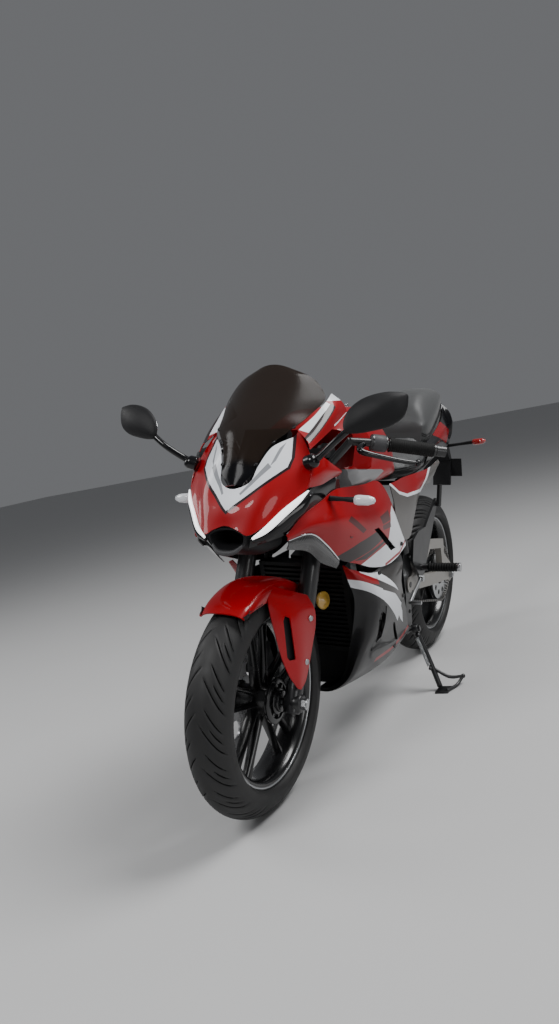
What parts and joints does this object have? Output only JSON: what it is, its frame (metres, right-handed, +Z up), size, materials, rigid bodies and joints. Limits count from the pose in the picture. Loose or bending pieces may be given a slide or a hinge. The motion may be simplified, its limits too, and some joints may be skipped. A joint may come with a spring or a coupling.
{
  "type": "sport motorcycle",
  "caption": "Full-fairing sport motorcycle leaning on its side stand, with turning wheels, steering, a folding stand and a hinged fuel cap.",
  "frame": {"origin": "on the floor, under the centre of the bounding box of the bike as it leans on its side stand", "axes": "+X forward along the wheels, +Y to the rider's left, the side it leans to, +Z up"},
  "size_m": [2.041, 0.8239, 1.1372],
  "materials": {
    "frame_black": "satin",
    "engine_grey": "satin",
    "radiator_black": "matte",
    "swingarm_silver": "satin",
    "spring_red": "gloss",
    "exhaust_black": "satin",
    "chain_steel": "satin",
    "axle_steel": "gloss",
    "red_paint": "gloss",
    "tank_red": "gloss",
    "cap_chrome": "gloss",
    "seat_vinyl": "matte",
    "cover_silver": "gloss",
    "black_gloss": "gloss",
    "black_plastic": "matte",
    "lens_red": "gloss",
    "lens_clear": "gloss",
    "lamp_white": "gloss",
    "screen_smoke": "gloss",
    "fairing_black": "gloss",
    "insert_smoke": "gloss",
    "alloy_silver": "satin",
    "wheel_black": "gloss",
    "tyre_rubber": "matte",
    "disc_steel": "satin",
    "hose_rubber": "satin"
  },
  "bodies": {
    "chassis": {"main_frame": "frame_black", "subframe": "frame_black", "engine": "engine_grey", "radiator": "radiator_black", "swingarm": "swingarm_silver", "rear_shock": "spring_red", "exhaust": "exhaust_black", "chain": "chain_steel", "rear_axle": "axle_steel", "footrest_left": "frame_black", "footrest_right": "frame_black", "pedals": "alloy_silver", "fuel_tank": "tank_red", "rider_seat": "seat_vinyl", "pillion_seat": "seat_vinyl", "side_covers": "cover_silver", "tail_cowl": "black_gloss", "tail_lamp": "lens_red", "rear_indicators": "lens_red", "plate_hanger": "black_plastic", "nose_cowl": "red_paint", "intake": "black_plastic", "lamps": "lamp_white", "windscreen": "screen_smoke", "instrument": "black_plastic", "side_fairing_left": "red_paint", "side_fairing_right": "red_paint", "fairing_inserts": "insert_smoke", "lower_fairing_left": "fairing_black", "lower_fairing_right": "fairing_black", "front_indicators": "lens_clear", "mirror_left": "black_plastic", "mirror_right": "black_plastic"},
    "steering": {"triple_clamps": "frame_black", "fork_left": "frame_black", "fork_right": "frame_black", "front_axle": "axle_steel", "front_mudguard": "red_paint", "brake_caliper": "black_gloss", "brake_hose": "hose_rubber", "handlebar_left": "black_plastic", "handlebar_right": "black_plastic", "levers": "frame_black"},
    "front_wheel": {"front_rim": "wheel_black", "front_tyre": "tyre_rubber", "front_disc": "disc_steel"},
    "rear_wheel": {"rear_rim": "wheel_black", "rear_tyre": "tyre_rubber", "rear_disc": "disc_steel", "sprocket": "disc_steel"},
    "side_stand": {"side_stand": "frame_black"},
    "fuel_cap": {"fuel_cap": "cap_chrome"}
  },
  "joints": [
    {"name": "steering_turn", "type": "hinge", "parent": "chassis", "child": "steering", "pos_m": [0.4319, -0.0296, 0.80244], "axis": [-0.4305, 0.1334, 0.8927], "range_deg": [-28, 28]},
    {"name": "front_wheel_spin", "type": "hinge", "parent": "steering", "child": "front_wheel", "pos_m": [0.7205, -0.10503, 0.29769], "axis": [0, 0.989, -0.1478], "continuous": true},
    {"name": "rear_wheel_spin", "type": "hinge", "parent": "chassis", "child": "rear_wheel", "pos_m": [-0.6295, -0.10417, 0.30346], "axis": [0, 0.989, -0.1478], "continuous": true},
    {"name": "stand_fold", "type": "hinge", "parent": "chassis", "child": "side_stand", "pos_m": [-0.1545, 0.01653, 0.20453], "axis": [-0.1909, 0.9779, 0.0855], "range_deg": [0, 100]},
    {"name": "cap_open", "type": "hinge", "parent": "chassis", "child": "fuel_cap", "pos_m": [0.1815, 0.00036, 1.0029], "axis": [0, 0.989, -0.1478], "range_deg": [0, 90]}
  ]
}
